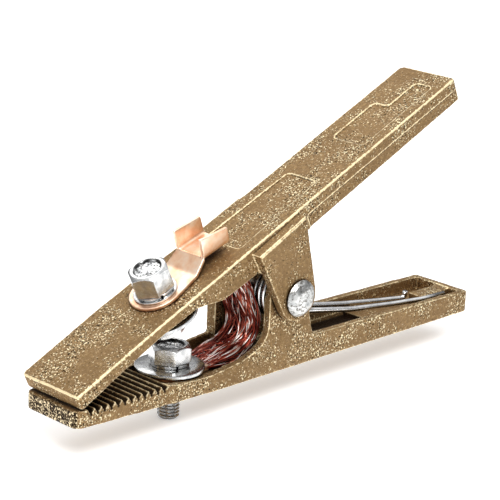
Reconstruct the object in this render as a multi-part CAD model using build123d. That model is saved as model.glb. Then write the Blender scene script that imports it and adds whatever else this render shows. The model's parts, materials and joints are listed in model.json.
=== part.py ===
from build123d import *
import math
import os

# A cast brass welding earth clamp: two channel-shaped castings crossed on a rivet, sprung shut by a
# double torsion spring, and bridged by a bare copper shunt that carries the current past the pivot.
# Frame: origin on the flat underside, straight below the pivot; +X towards the handles, +Z up.
# Millimetres throughout.

os.makedirs("parts", exist_ok=True)

# ---------------------------------------------------------------- driving dimensions
LENGTH = 200.8
TIP_X = -97.5
HEEL_X = TIP_X + LENGTH
PIVOT_Z = 28.4
GRIP_ANGLE = 24.25          # slope of the upper casting with the jaws shut
BODY_GAP = 0.3              # working clearance between the two castings

# lower casting
LOWER_HALF = 13.75
WALL = 3.0
EAR_WALL = 3.25
EAR_RADIUS = 10.5
NOSE_RISE = 1.8             # how far the underside lifts at the tip
NOSE_RISE_START_X = -40.0
NOSE_X = -100.2             # front of the lower jaw, just behind the upper jaw's lip
NOSE_CORNER = 3.5
HEEL_CORNER = 2.4
JAW_FLOOR_Z = 5.0
HANDLE_FLOOR_Z = 3.6
WELL_FLOOR_Z = 1.8
WELL_FRONT_X = -13.5
WELL_END_X = 56.0
END_WALL = 3.7
HANDLE_TOP_Z = 8.7
NOSE_TOP_Z = 8.3
JAW_SAG = [(-23.0, 8.5), (-38.0, 6.6), (-54.0, 7.1), (-58.5, 8.1)]     # top edge, from the ear to the teeth
EAR_FOOT_Z = 13.0
EAR_FOOT_RADIUS = 9.0
EAR_BACK = [(12.8, 10.6), (10.6, 19.5)]     # rear edge of the ear, from the handle's rim up
EAR_BACK_RADII = [3.0, 8.0]
EDGE_ROUND = 0.8
HEEL_TOP_ROUND = 1.2
FAR_EAR_FRONT_X = -15.6     # the far cheek runs further forward than the near one, and is thicker there
FAR_EAR_CORNER = 9.0
FAR_LIP_BACK_X = -11.3
FAR_LIP_INNER = 9.0
FAR_LIP_TOP_Z = 30.0
FAR_RIM = [(-34.0, 7.1), (-26.0, 9.4), (FAR_EAR_FRONT_X, 10.5)]     # thin, raised rim in front of that cheek
FAR_RIM_INNER = 12.2
REST_FRONT_X = 83.0         # block at the heel that the spring's legs bear on
REST_Y = (-5.8, 0.9)
REST_TOP_Z = 8.3

# gripping teeth
TOOTH_PITCH = 3.0
TOOTH_COUNT = 12
TOOTH_DEPTH = 2.0
TOOTH_START = 2.6           # first groove, measured back from the tip
TOOTH_ROOT_HALF = 0.2       # half the flat at the bottom of each groove
TOOTH_OVERCUT = 0.8
LOWER_CREST_Z = 8.2
UPPER_CREST_W = -5.2
UPPER_TOOTH_DEPTH = 1.6
UPPER_TOOTH_MARGIN = 1.6    # the upper grooves stop this far inside the jaw's sides

# upper casting, in its own frame: u along the top face from the tip, w square to it
UPPER_LENGTH = 203.0
UPPER_ORIGIN = (TIP_X - 2.32, 0, 13.93)
UPPER_TIP_HALF = 14.2
UPPER_TIP_U = -0.5
UPPER_HALF = 13.6
UPPER_TAPER_END = 40.0
FAR_EDGE = [(112.0, 13.6), (103.0, 14.4), (84.0, 14.5), (62.0, 16.1), (36.0, 16.4)]  # the far side bows out
FAR_TIP_HALF = 15.4
TIP_CORNER = 1.2
FAR_TIP_CORNER = 2.0
END_CORNER = 1.5
FAR_END_CORNER = 2.2
BAR_DEPTH = 20.0
TOP_CHAMFER = 0.35
CHANNEL_START_U = 42.0
CEILING_W = -4.2
LIP_W = -5.6                # lower edge at the very tip
UPPER_EDGE = [(1.0, LIP_W), (38.0, -4.1), (57.0, -4.8), (68.0, -9.6), (86.0, -10.5)]    # lower edge
UPPER_EDGE_RADII = [0, 20.0, 6.0, 6.0, 0]
HANDLE_EDGE_W = -9.8
UPPER_EAR_WALL = 3.9
UPPER_EAR_RADIUS = 9.0
EAR_FRONT_U = 86.0
EAR_REAR_U = 111.3
NEAR_LEDGE = (-1.9, -1.1)   # top of each cheek plate at its front and rear, a step below the top face
FAR_LEDGE = (-2.5, -2.5)
EAR_CHAMFER = 0.6
EAR_ROOT_W = -9.0           # depth of the web that joins a cheek plate to the channel
EAR_ROOT_INSET = (0.6, 1.4)
PANEL_DEPTH = 0.6
PANEL_CORNER = 2.0
FRONT_PANEL = [(85.0, -8.6), (128.5, -7.2), (128.5, 7.2), (85.0, 8.6)]
REAR_PANEL = [(153.4, -8.6), (194.8, -8.6), (194.8, -0.4), (178.0, -0.4), (178.0, 6.6), (153.4, 6.6)]
PARTING_W = -4.6
PARTING_STEP = 0.35
PARTING_LEAD = 18.0         # the step starts this far behind the pivot

# fasteners (M8)
BOLT_RADIUS = 4.0
BOLT_HOLE_RADIUS = 4.1
THREAD_PITCH = 1.25
THREAD_DEPTH = 0.6
HEAD_FLATS = 13.5
HEAD_HEIGHT = 6.4
UPPER_HEAD_HEIGHT = 8.5
HEAD_CHAMFER = 1.1
CORNER_TOP = 0.96           # radius of a rounded hexagon's end face, as a share of half its flats
CORNER_RUN = 2.0            # how far the rounding cone spreads past the corners, per unit of height
DISH_RADIUS = 4.9
DISH_FLOOR_RADIUS = 4.1
DISH_DEPTH = 0.9
LOWER_BOLT_TURN = 3.0       # degrees
UPPER_BOLT_TURN = 0.0
NUT_TURN = 25.0
LOWER_BOLT_X = -46.0
LOWER_BOLT_END_Z = -11.0
UPPER_BOLT_U = 52.5
UPPER_BOLT_Y = 1.3
UPPER_BOLT_END_W = -17.4
BIG_WASHER_RADIUS = 12.5
BIG_WASHER = 1.6
TOP_WASHER_RADIUS = 7.9
TOP_WASHER = 0.7
LOCK_WASHER_RADIUS = 6.9
LOCK_WASHER = 1.1
LOCK_SPLIT = 0.8
LOCK_SLANT = 25.0
NUT_FLATS = 13.0
NUT_HEIGHT = 4.6
BOSS_RADIUS = 10.0
BOSS_W = -5.5

# pivot rivet and its sleeve
RIVET_RADIUS = 4.5
RIVET_RUNNING_GAP = 0.05
RIVET_HEAD_RADIUS = 7.0
RIVET_HEAD = 3.0
PEEN_RADIUS = 6.2
PEEN = 2.4
HEAD_CURVE = [(0, 1.0), (0.45, 0.93), (0.8, 0.66), (1.0, 0.2)]     # shares of the head's radius and height
PEEN_CURVE = [(1.0, 0.4), (0.7, 0.85), (0, 1.0)]
RIVET_WASHER = 1.0
RIVET_WASHER_RADIUS = 8.0
SLEEVE_RADIUS = 7.4

# double torsion spring
WIRE_RADIUS = 1.0
COIL_RADIUS = 9.0
COIL_PITCH = 2.3
WHOLE_TURNS = 2
LEG_Y = 3.5
LOWER_EXIT = -100.8         # degrees round the rivet where the lower legs leave the coils
UPPER_EXIT = -212.0         # the same for the upper legs, which slope up at 58 degrees
LEG_LEAD = 4.0
NEAR_LEG = [(43.7, -3.8, 10.8), (66.0, -5.4, 8.6), (82.0, -7.9, 8.0), (94.3, -7.9, 7.7)]
FAR_LEG = [(46.0, 3.0, 10.6), (67.0, 2.0, 7.8), (80.9, 0.9, 6.3), (80.9, 0.5, 9.2)]
UPPER_LEG_Y = 9.3
UPPER_LEG_W = -5.35
UPPER_LEG_BEND_U = 114.4
UPPER_LEG_END_U = 172.0
NEAR_BENDS = [40.0, 60.0, 50.0, 30.0]
FAR_BENDS = [40.0, 60.0, 50.0, 1.4]
UPPER_BENDS = [30.0, 10.0, 3.0, 3.0, 10.0, 30.0]

# copper lug and shunt
LUG = 1.4
LUG_RADIUS = 9.7
LUG_NECK_HALF = 7.1
LUG_TAPER_LEAD = 1.2        # the ring's sides start to taper this far past the bolt
LUG_SHOULDER = 0.1
RAMP = 5.5
RAMP_STAGGER = 0.5
RAMP_RADIUS = 2.0
BARREL_START = 71.3
BARREL_OVERLAP = 0.4
BARREL_LENGTH = 13.0
BARREL_FLOOR_W = 3.2
BARREL_DIP = 5.7            # degrees the barrel drops towards the handle
BARREL_FOLD = 2.4
WINGS = [(-1, 1.0, 8.8, 6.9), (1, 0.4, 8.7, 7.9)]   # side, lean, height at the ring end and at the open end
FERRULE = 2.4
FERRULE_RADIUS = 9.5
FERRULE_REACH = 13.2
SHUNT_WIDTH = 13.0
SHUNT_THICK = 5.0
SHUNT_ROUND = 2.0
SHUNT_LIFT = 0.2
SHUNT_POINTS = [(-18.6, 0, 7.8), (-7.8, 0, 15.4), (-14.8, 0, 31.0), (-20.5, 0, 39.6)]
SHUNT_BENDS = [13.0, 13.0, 16.0, 5.5]
JOIN_GAP = 0.1
OVERRUN = 1.0               # how far a cut runs past the face it opens

UPPER = Plane(
    origin=UPPER_ORIGIN,
    x_dir=(math.cos(math.radians(GRIP_ANGLE)), 0, math.sin(math.radians(GRIP_ANGLE))),
    z_dir=(-math.sin(math.radians(GRIP_ANGLE)), 0, math.cos(math.radians(GRIP_ANGLE))),
)
PIVOT_LOCAL = UPPER.to_local_coords(Vector(0, 0, PIVOT_Z))
PIVOT_U = PIVOT_LOCAL.X
PIVOT_W = PIVOT_LOCAL.Z
EAR_INNER = LOWER_HALF - EAR_WALL
UPPER_EAR_INNER = LOWER_HALF + BODY_GAP
UPPER_EAR_OUTER = UPPER_EAR_INNER + UPPER_EAR_WALL
CHANNEL_HALF = LOWER_HALF - WALL
UPPER_CHANNEL_HALF = UPPER_HALF - WALL
TEETH_END_X = TIP_X + TOOTH_START + TOOTH_PITCH * TOOTH_COUNT
STANDING = (Align.CENTER, Align.CENTER, Align.MIN)


# ---------------------------------------------------------------- shared shapes
def side_slab(points, radii, y_low, y_high):
    """A side outline with rounded corners, extruded across the clamp."""
    outline = FilletPolyline(*[(x, y_low, z) for x, z in points], radius=radii, close=True)
    return extrude(make_face(outline), amount=y_high - y_low, dir=(0, 1, 0))


def block(x_low, x_high, y_low, y_high, z_low, z_high):
    size = (x_high - x_low, y_high - y_low, z_high - z_low)
    middle = ((x_low + x_high) / 2, (y_low + y_high) / 2, (z_low + z_high) / 2)
    return Pos(*middle) * Box(*size)


def rod(radius, x, y, z_low, z_high):
    return Pos(x, y, z_low) * Cylinder(radius, z_high - z_low, align=STANDING)


def cross_rod(radius, x, z, y_low, y_high):
    """A round bar along Y."""
    lying = Cylinder(radius, y_high - y_low, align=STANDING)
    return Pos(x, y_low, z) * Rot(-90, 0, 0) * lying


def ring(outer, inner, x, y, z_low, z_high):
    return rod(outer, x, y, z_low, z_high) - rod(inner, x, y, z_low - OVERRUN, z_high + OVERRUN)


def placed(shape):
    """Moves a shape from the upper casting's frame to the clamp's frame."""
    return UPPER.location * shape


def hex_prism(flats, x, y, z_low, z_high, turn):
    outline = RegularPolygon(flats / 2, 6, major_radius=False, rotation=turn)
    return Pos(x, y, z_low) * extrude(outline, amount=z_high - z_low)


def corner_cone(flats, x, y, z_high, height):
    """The cone that rounds off the corners of a hexagon at its upper face."""
    wide = flats / math.sqrt(3) + height * CORNER_RUN
    narrow = flats / 2 * CORNER_TOP
    return Pos(x, y, z_high - height) * Cone(wide, narrow, height, align=STANDING)


def threaded_rod(x, y, z_low, z_high, thread_top):
    """An M8 shank whose threads are rings of the real pitch and depth, up to thread_top."""
    root = BOLT_RADIUS - THREAD_DEPTH
    shape = rod(root, x, y, z_low, z_high)
    if z_high > thread_top:
        shape += rod(BOLT_RADIUS, x, y, thread_top, z_high)
    turns = int((thread_top - z_low) / THREAD_PITCH)
    half = THREAD_PITCH / 2
    for turn in range(turns):
        base = thread_top - (turn + 1) * THREAD_PITCH
        lower = Cone(root, BOLT_RADIUS, half, align=STANDING)
        upper = Cone(BOLT_RADIUS, root, half, align=STANDING)
        shape += Pos(x, y, base) * lower
        shape += Pos(x, y, base + half) * upper
    return shape


def hex_bolt(x, y, z_end, z_seat, thread_top, turn, height):
    """A hexagon bolt, head up, with a dished head."""
    top = z_seat + height
    head = hex_prism(HEAD_FLATS, x, y, z_seat, top - HEAD_CHAMFER, turn)
    crown = hex_prism(HEAD_FLATS, x, y, top - HEAD_CHAMFER, top, turn)
    head += crown & corner_cone(HEAD_FLATS, x, y, top, HEAD_CHAMFER)
    dish = Cone(DISH_FLOOR_RADIUS, DISH_RADIUS, DISH_DEPTH, align=STANDING)
    head -= Pos(x, y, top - DISH_DEPTH) * dish
    return head + threaded_rod(x, y, z_end, z_seat + OVERRUN, thread_top)


# ---------------------------------------------------------------- lower casting
def lower_outline():
    """Side outline of the lower casting: jaw, ear round the pivot, and handle."""
    ear_top = PIVOT_Z + EAR_RADIUS
    ear_round = EAR_RADIUS - JOIN_GAP
    points = [
        (NOSE_X, NOSE_RISE), (NOSE_RISE_START_X, 0), (HEEL_X, 0), (HEEL_X, HANDLE_TOP_Z), *EAR_BACK,
        (EAR_RADIUS, ear_top), (-EAR_RADIUS, ear_top), (-EAR_RADIUS, EAR_FOOT_Z), *JAW_SAG,
        (NOSE_X, NOSE_TOP_Z),
    ]
    radii = [EDGE_ROUND, 0, EDGE_ROUND, HEEL_TOP_ROUND, *EAR_BACK_RADII, ear_round, ear_round]
    radii += [EAR_FOOT_RADIUS, *[0] * (len(JAW_SAG) - 1), 0, EDGE_ROUND]
    return points, radii


def tooth_cuts(start, crest, depth, y_low, y_high, upward):
    """V-grooves across the jaw; upward is -1 when they are cut into the face from above."""
    cuts = None
    for tooth in range(TOOTH_COUNT):
        middle = start + (tooth + 0.5) * TOOTH_PITCH
        root = crest + upward * depth
        mouth = crest - upward * TOOTH_OVERCUT
        half = TOOTH_PITCH / 2 * (depth + TOOTH_OVERCUT) / (depth + TOOTH_ROOT_HALF)
        points = [
            (middle - half, mouth), (middle - TOOTH_ROOT_HALF, root), (middle + TOOTH_ROOT_HALF, root),
            (middle + half, mouth),
        ]
        groove = side_slab(points, [0] * len(points), y_low, y_high)
        cuts = groove if cuts is None else cuts + groove
    return cuts


def lower_casting():
    points, radii = lower_outline()
    body = side_slab(points, radii, -LOWER_HALF, LOWER_HALF)
    plan = [(NOSE_X, -LOWER_HALF), (HEEL_X, -LOWER_HALF), (HEEL_X, LOWER_HALF), (NOSE_X, LOWER_HALF)]
    corners = [NOSE_CORNER, HEEL_CORNER, HEEL_CORNER, NOSE_CORNER]
    top = PIVOT_Z + EAR_RADIUS
    sky = top + OVERRUN
    outside = LOWER_HALF + OVERRUN
    body &= extrude(make_face(FilletPolyline(*plan, radius=corners, close=True)), amount=sky)
    far_rim = [(FAR_RIM[0][0], JAW_FLOOR_Z), *FAR_RIM, (FAR_EAR_FRONT_X, JAW_FLOOR_Z)]
    body -= block(FAR_RIM[0][0], FAR_EAR_FRONT_X, 0, outside, JAW_FLOOR_Z, sky)
    body += side_slab(far_rim, [0] * len(far_rim), FAR_RIM_INNER, LOWER_HALF)
    far_cheek = [(FAR_EAR_FRONT_X, JAW_FLOOR_Z), (0, JAW_FLOOR_Z), (0, top), (FAR_EAR_FRONT_X, top)]
    body += side_slab(far_cheek, [0, 0, 0, FAR_EAR_CORNER], EAR_INNER, LOWER_HALF)
    body -= block(TEETH_END_X, WELL_FRONT_X + OVERRUN, -EAR_INNER, EAR_INNER, JAW_FLOOR_Z, sky)
    body -= block(WELL_FRONT_X, WELL_END_X, -EAR_INNER, EAR_INNER, WELL_FLOOR_Z, sky)
    body -= block(0, HEEL_X - END_WALL, -CHANNEL_HALF, CHANNEL_HALF, HANDLE_FLOOR_Z, sky)
    body += block(FAR_EAR_FRONT_X, FAR_LIP_BACK_X, FAR_LIP_INNER, EAR_INNER, WELL_FLOOR_Z, FAR_LIP_TOP_Z)
    body += block(REST_FRONT_X, HEEL_X - END_WALL, REST_Y[0], REST_Y[1], HANDLE_FLOOR_Z, REST_TOP_Z)
    body -= tooth_cuts(TIP_X + TOOTH_START, LOWER_CREST_Z, TOOTH_DEPTH, -outside, outside, -1)
    body -= rod(BOLT_HOLE_RADIUS, LOWER_BOLT_X, 0, -OVERRUN, sky)
    body -= cross_rod(RIVET_RADIUS + RIVET_RUNNING_GAP, 0, PIVOT_Z, -outside, outside)
    return body


# ---------------------------------------------------------------- upper casting
def upper_casting():
    """Built in its own frame: top face at w = 0, tip at u = 0, channel open downwards."""
    plan = [
        (UPPER_TIP_U, -UPPER_TIP_HALF), (UPPER_TAPER_END, -UPPER_HALF), (UPPER_LENGTH, -UPPER_HALF),
        (UPPER_LENGTH, UPPER_HALF), *FAR_EDGE, (UPPER_TIP_U, FAR_TIP_HALF),
    ]
    corners = [TIP_CORNER, 0, END_CORNER, FAR_END_CORNER, *[0] * len(FAR_EDGE), FAR_TIP_CORNER]
    bar = extrude(make_face(FilletPolyline(*plan, radius=corners, close=True)), amount=-BAR_DEPTH)
    past_tip = UPPER_TIP_U - OVERRUN
    past_end = UPPER_LENGTH + OVERRUN
    past_ears = UPPER_EAR_OUTER + OVERRUN
    edge = [(past_tip, 0), (past_tip, LIP_W), *UPPER_EDGE, (past_end, HANDLE_EDGE_W), (past_end, 0)]
    bar &= side_slab(edge, [0, 0, *UPPER_EDGE_RADII, 0, 0], -past_ears, past_ears)
    inside = UPPER_CHANNEL_HALF
    bar -= block(CHANNEL_START_U, UPPER_LENGTH - WALL, -inside, inside, -BAR_DEPTH, CEILING_W)
    bar += rod(BOSS_RADIUS, UPPER_BOLT_U, UPPER_BOLT_Y, BOSS_W, CEILING_W)
    bar = chamfer(bar.faces().sort_by(Axis.Z)[-1].outer_wire().edges(), TOP_CHAMFER)
    teeth_half = UPPER_HALF - UPPER_TOOTH_MARGIN
    bar -= tooth_cuts(TOOTH_START, UPPER_CREST_W, UPPER_TOOTH_DEPTH, -teeth_half, teeth_half, 1)
    for side in (-1, 1):
        step = sorted((side * (UPPER_HALF - PARTING_STEP), side * past_ears))
        bar -= block(PIVOT_U + PARTING_LEAD, past_end, step[0], step[1], -BAR_DEPTH, PARTING_W)
    bar -= panel_recesses()
    for side in (-1, 1):
        bar += upper_ear(side)
    bar -= rod(BOLT_HOLE_RADIUS, UPPER_BOLT_U, UPPER_BOLT_Y, -BAR_DEPTH, OVERRUN)
    bar -= cross_rod(RIVET_RADIUS + RIVET_RUNNING_GAP, PIVOT_U, PIVOT_W, -past_ears, past_ears)
    return placed(bar)


def tangent_point(u, w, side):
    """Where the line from (u, w) touches the round end of the ear."""
    reach = math.hypot(u - PIVOT_U, w - PIVOT_W)
    turn = math.acos(UPPER_EAR_RADIUS / reach)
    angle = math.atan2(w - PIVOT_W, u - PIVOT_U) + side * turn
    return (PIVOT_U + UPPER_EAR_RADIUS * math.cos(angle), PIVOT_W + UPPER_EAR_RADIUS * math.sin(angle))


def upper_ear(side):
    """One cheek plate, hung outside the lower casting's ear, with a narrow ledge along its top."""
    front_w, rear_w = NEAR_LEDGE if side < 0 else FAR_LEDGE
    front_top = (EAR_FRONT_U, front_w)
    rear_top = (EAR_REAR_U, rear_w)
    front = tangent_point(EAR_FRONT_U, front_w, 1)
    rear = tangent_point(EAR_REAR_U, rear_w, -1)
    points = [front_top, front, (PIVOT_U, PIVOT_W), rear, rear_top]
    plate = sorted((side * UPPER_EAR_INNER, side * UPPER_EAR_OUTER))
    ear = side_slab(points, [0] * len(points), plate[0], plate[1])
    ear += cross_rod(UPPER_EAR_RADIUS, PIVOT_U, PIVOT_W, plate[0], plate[1])
    web = sorted((side * (UPPER_CHANNEL_HALF + BODY_GAP), side * (UPPER_EAR_INNER + BODY_GAP)))
    root = [
        front_top, (EAR_FRONT_U + EAR_ROOT_INSET[0], EAR_ROOT_W),
        (EAR_REAR_U - EAR_ROOT_INSET[1], EAR_ROOT_W), rear_top,
    ]
    ear += side_slab(root, [0] * len(root), web[0], web[1])
    return ear - ledge_bevel(side, front_w, rear_w)


def ledge_bevel(side, front_w, rear_w):
    """The strip that breaks the outer edge of a ledge, running along its slope."""
    slope = (rear_w - front_w) / (EAR_REAR_U - EAR_FRONT_U)
    start = EAR_FRONT_U - OVERRUN
    start_w = front_w - OVERRUN * slope
    outer = side * UPPER_EAR_OUTER
    section = [
        (outer - side * EAR_CHAMFER, start_w), (outer, start_w - EAR_CHAMFER),
        (outer + side * OVERRUN, start_w - EAR_CHAMFER), (outer + side * OVERRUN, start_w + OVERRUN),
        (outer - side * EAR_CHAMFER, start_w + OVERRUN),
    ]
    outline = Polyline(*[(start, y, w) for y, w in section], close=True)
    run = EAR_REAR_U - EAR_FRONT_U + 2 * OVERRUN
    return extrude(make_face(outline), amount=run * math.hypot(1, slope), dir=(1, 0, slope))


def panel_recesses():
    """Two shallow sunk panels on the grip's top face; the rear one is stepped."""
    cuts = None
    for points in (FRONT_PANEL, REAR_PANEL):
        outline = FilletPolyline(*[(u, y, -PANEL_DEPTH) for u, y in points], radius=PANEL_CORNER, close=True)
        cut = extrude(make_face(outline), amount=PANEL_DEPTH + OVERRUN, dir=(0, 0, 1))
        cuts = cut if cuts is None else cuts + cut
    return cuts


# ---------------------------------------------------------------- pivot
def pivot_rivet():
    """Round-headed rivet along Y: formed head on the near side, peened end on the far side."""
    near_face = -UPPER_EAR_OUTER - BODY_GAP
    far_face = UPPER_EAR_OUTER + BODY_GAP + RIVET_WASHER
    head = [(share * RIVET_HEAD_RADIUS, near_face - rise * RIVET_HEAD) for share, rise in HEAD_CURVE]
    peen = [(share * PEEN_RADIUS, far_face + rise * PEEN) for share, rise in PEEN_CURVE]
    shank = [
        (RIVET_HEAD_RADIUS, near_face), (RIVET_RADIUS, near_face), (RIVET_RADIUS, far_face),
        (PEEN_RADIUS, far_face),
    ]
    half = head + shank + peen
    section = Polyline(*[(radius, y, 0) for radius, y in half], close=True)
    return Pos(0, 0, PIVOT_Z) * revolve(make_face(section), axis=Axis.Y, revolution_arc=360)


def cross_ring(outer, inner, y_low, y_high):
    """A ring round the pivot's axis."""
    bore = cross_rod(inner, 0, PIVOT_Z, y_low - OVERRUN, y_high + OVERRUN)
    return cross_rod(outer, 0, PIVOT_Z, y_low, y_high) - bore


def rivet_washer():
    start = UPPER_EAR_OUTER + BODY_GAP
    return cross_ring(RIVET_WASHER_RADIUS, RIVET_RADIUS + RIVET_RUNNING_GAP, start, start + RIVET_WASHER)


def pivot_sleeve():
    """Tube round the rivet that spaces the inner ears and carries the spring's coils."""
    reach = EAR_INNER - JOIN_GAP
    return cross_ring(SLEEVE_RADIUS, RIVET_RADIUS + RIVET_RUNNING_GAP, -reach, reach)


# ---------------------------------------------------------------- spring
def coil(side):
    """Helix round the rivet, from the lower leg's exit at the inside to the upper leg's outside."""
    turns = (LOWER_EXIT - UPPER_EXIT) / 360 + WHOLE_TURNS
    lying = Helix(pitch=COIL_PITCH, height=COIL_PITCH * turns, radius=COIL_RADIUS, lefthand=(side < 0))
    standing = Rot(-90, 0, 0) * (lying if side > 0 else Rot(180, 0, 0) * lying)
    return Pos(0, side * LEG_Y, PIVOT_Z) * Rot(0, -LOWER_EXIT, 0) * standing


def spring_wire():
    """One wire: lower leg, coil, upper leg, bridge under the grip, upper leg, coil, lower leg."""
    coils = {side: coil(side) for side in (-1, 1)}
    lower_legs = {}
    upper_points = {}
    for side, tail, bends in ((-1, NEAR_LEG, NEAR_BENDS), (1, FAR_LEG, FAR_BENDS)):
        inside = coils[side] @ 0
        inward = coils[side] % 0 * -1
        points = [inside, inside + inward * LEG_LEAD, *tail]
        lower_legs[side] = FilletPolyline(*points, radius=bends)
        outside = coils[side] @ 1
        outward = coils[side] % 1
        bend = UPPER.from_local_coords(Vector(UPPER_LEG_BEND_U, side * UPPER_LEG_Y, UPPER_LEG_W))
        end = UPPER.from_local_coords(Vector(UPPER_LEG_END_U, side * UPPER_LEG_Y, UPPER_LEG_W))
        upper_points[side] = [outside, outside + outward * LEG_LEAD, bend, end]
    over = upper_points[-1] + upper_points[1][::-1]
    upper = FilletPolyline(*over, radius=UPPER_BENDS)
    pieces = [lower_legs[-1], coils[-1], upper, coils[1], lower_legs[1]]
    return Wire([edge for piece in pieces for edge in piece.edges()])


def torsion_spring():
    wire = spring_wire()
    section = Plane(origin=wire @ 0, z_dir=wire % 0) * Circle(WIRE_RADIUS)
    return sweep(section, path=wire, is_frenet=True)


# ---------------------------------------------------------------- copper lug
def crimp_barrel():
    """Open barrel in its own frame: a level floor on w = 0 and two upright wings, running along u."""
    near, far = [(side * (LUG_NECK_HALF + lean), side * LUG_NECK_HALF) for side, lean, _, _ in WINGS]
    height = 2 * LUG_NECK_HALF
    section = [
        (near[0], height), (near[1], 0), (far[1], 0), (far[0], height), (far[0] - LUG, height),
        (far[1] - LUG, LUG), (near[1] + LUG, LUG), (near[0] + LUG, height),
    ]
    inner_fold = BARREL_FOLD - LUG
    folds = [0, BARREL_FOLD, BARREL_FOLD, 0, 0, inner_fold, inner_fold, 0]
    outline = FilletPolyline(*[(0, y, w) for y, w in section], radius=folds, close=True)
    barrel = extrude(make_face(outline), amount=BARREL_LENGTH, dir=(1, 0, 0))
    for side, _, start_height, end_height in WINGS:
        above = [(0, start_height), (BARREL_LENGTH, end_height), (BARREL_LENGTH, 2 * height), (0, 2 * height)]
        reach = sorted((0, side * height))
        barrel -= side_slab(above, [0] * len(above), reach[0], reach[1])
    return barrel


def cable_lug():
    """Ring tongue, a short ramp and an open crimp barrel with two upright wings."""
    ramp_start = BARREL_START - RAMP
    joint = BARREL_START + BARREL_OVERLAP
    taper_start = UPPER_BOLT_U + LUG_TAPER_LEAD
    shoulder = LUG_RADIUS - LUG_SHOULDER
    profile = [
        (UPPER_BOLT_U, 0), (ramp_start, 0), (joint, BARREL_FLOOR_W), (joint, BARREL_FLOOR_W + LUG),
        (ramp_start - RAMP_STAGGER, LUG), (UPPER_BOLT_U, LUG),
    ]
    tongue = side_slab(profile, [0, RAMP_RADIUS, 0, 0, RAMP_RADIUS + LUG, 0], -LUG_RADIUS, LUG_RADIUS)
    plan = [
        (taper_start, -shoulder), (joint, -LUG_NECK_HALF), (joint, LUG_NECK_HALF), (taper_start, shoulder),
    ]
    tongue &= extrude(make_face(Polyline(*plan, close=True)), amount=2 * LUG_RADIUS)
    tongue += rod(LUG_RADIUS, UPPER_BOLT_U, 0, 0, LUG)
    tongue -= rod(BOLT_HOLE_RADIUS, UPPER_BOLT_U, 0, -LUG, 2 * LUG)
    tongue += Pos(BARREL_START, 0, BARREL_FLOOR_W) * Rot(0, BARREL_DIP, 0) * crimp_barrel()
    return placed(Pos(0, UPPER_BOLT_Y, 0) * tongue)


# ---------------------------------------------------------------- shunt
def ferrule_plate(ring_y):
    """Flattened copper end of the shunt: a ring with a tongue, lying on its back face."""
    plate = rod(FERRULE_RADIUS, 0, ring_y, 0, FERRULE)
    plate += block(0, FERRULE_REACH, -SHUNT_WIDTH / 2, SHUNT_WIDTH / 2, 0, FERRULE)
    return plate - rod(BOLT_HOLE_RADIUS, 0, ring_y, -OVERRUN, FERRULE + OVERRUN)


def shunt_ferrule_lower():
    return Pos(LOWER_BOLT_X, 0, JAW_FLOOR_Z) * ferrule_plate(0)


def shunt_ferrule_upper():
    return placed(Pos(UPPER_BOLT_U, 0, BOSS_W - FERRULE) * ferrule_plate(UPPER_BOLT_Y))


def shunt_path():
    """Centre line of the copper bundle, in the plane of symmetry."""
    start_z = JAW_FLOOR_Z + SHUNT_THICK / 2 + SHUNT_LIFT
    start = Vector(LOWER_BOLT_X + FERRULE_REACH + JOIN_GAP, 0, start_z)
    upper_end = Vector(UPPER_BOLT_U + FERRULE_REACH + JOIN_GAP, 0, BOSS_W - SHUNT_THICK / 2)
    end = UPPER.from_local_coords(upper_end)
    return FilletPolyline(start, *SHUNT_POINTS, end, radius=SHUNT_BENDS)


def shunt_braid():
    path = shunt_path()
    section = Plane(origin=path @ 0, x_dir=(0, 1, 0), z_dir=path % 0)
    bundle = section * RectangleRounded(SHUNT_WIDTH, SHUNT_THICK, SHUNT_ROUND)
    return sweep(bundle, path=path)


# ---------------------------------------------------------------- bolts and washers
def split_washer(x, y, z_low):
    """Spring lock washer: a ring with one slanting cut."""
    shape = ring(LOCK_WASHER_RADIUS, BOLT_HOLE_RADIUS, x, y, z_low, z_low + LOCK_WASHER)
    cutter = Rot(0, LOCK_SLANT, 0) * Box(LOCK_SPLIT, LOCK_WASHER_RADIUS, 4 * LOCK_WASHER)
    return shape - Pos(x, y - LOCK_WASHER_RADIUS, z_low + LOCK_WASHER / 2) * cutter


def lower_bolt():
    seat = JAW_FLOOR_Z + FERRULE + BIG_WASHER + LOCK_WASHER
    thread_top = JAW_FLOOR_Z + FERRULE
    return hex_bolt(LOWER_BOLT_X, 0, LOWER_BOLT_END_Z, seat, thread_top, LOWER_BOLT_TURN, HEAD_HEIGHT)


def lower_lock_washer():
    return split_washer(LOWER_BOLT_X, 0, JAW_FLOOR_Z + FERRULE + BIG_WASHER)


def lower_washer():
    base = JAW_FLOOR_Z + FERRULE
    return ring(BIG_WASHER_RADIUS, BOLT_HOLE_RADIUS, LOWER_BOLT_X, 0, base, base + BIG_WASHER)


def upper_bolt():
    seat = LUG + TOP_WASHER + LOCK_WASHER
    turn = UPPER_BOLT_TURN
    return placed(hex_bolt(UPPER_BOLT_U, UPPER_BOLT_Y, UPPER_BOLT_END_W, seat, 0, turn, UPPER_HEAD_HEIGHT))


def upper_lock_washer():
    return placed(split_washer(UPPER_BOLT_U, UPPER_BOLT_Y, LUG + TOP_WASHER))


def lug_washer():
    top = LUG + TOP_WASHER
    return placed(ring(TOP_WASHER_RADIUS, BOLT_HOLE_RADIUS, UPPER_BOLT_U, UPPER_BOLT_Y, LUG, top))


def clamp_washer():
    top = BOSS_W - FERRULE
    base = top - BIG_WASHER
    return placed(ring(BIG_WASHER_RADIUS, BOLT_HOLE_RADIUS, UPPER_BOLT_U, UPPER_BOLT_Y, base, top))


def nut_lock_washer():
    return placed(split_washer(UPPER_BOLT_U, UPPER_BOLT_Y, BOSS_W - FERRULE - BIG_WASHER - LOCK_WASHER))


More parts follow.
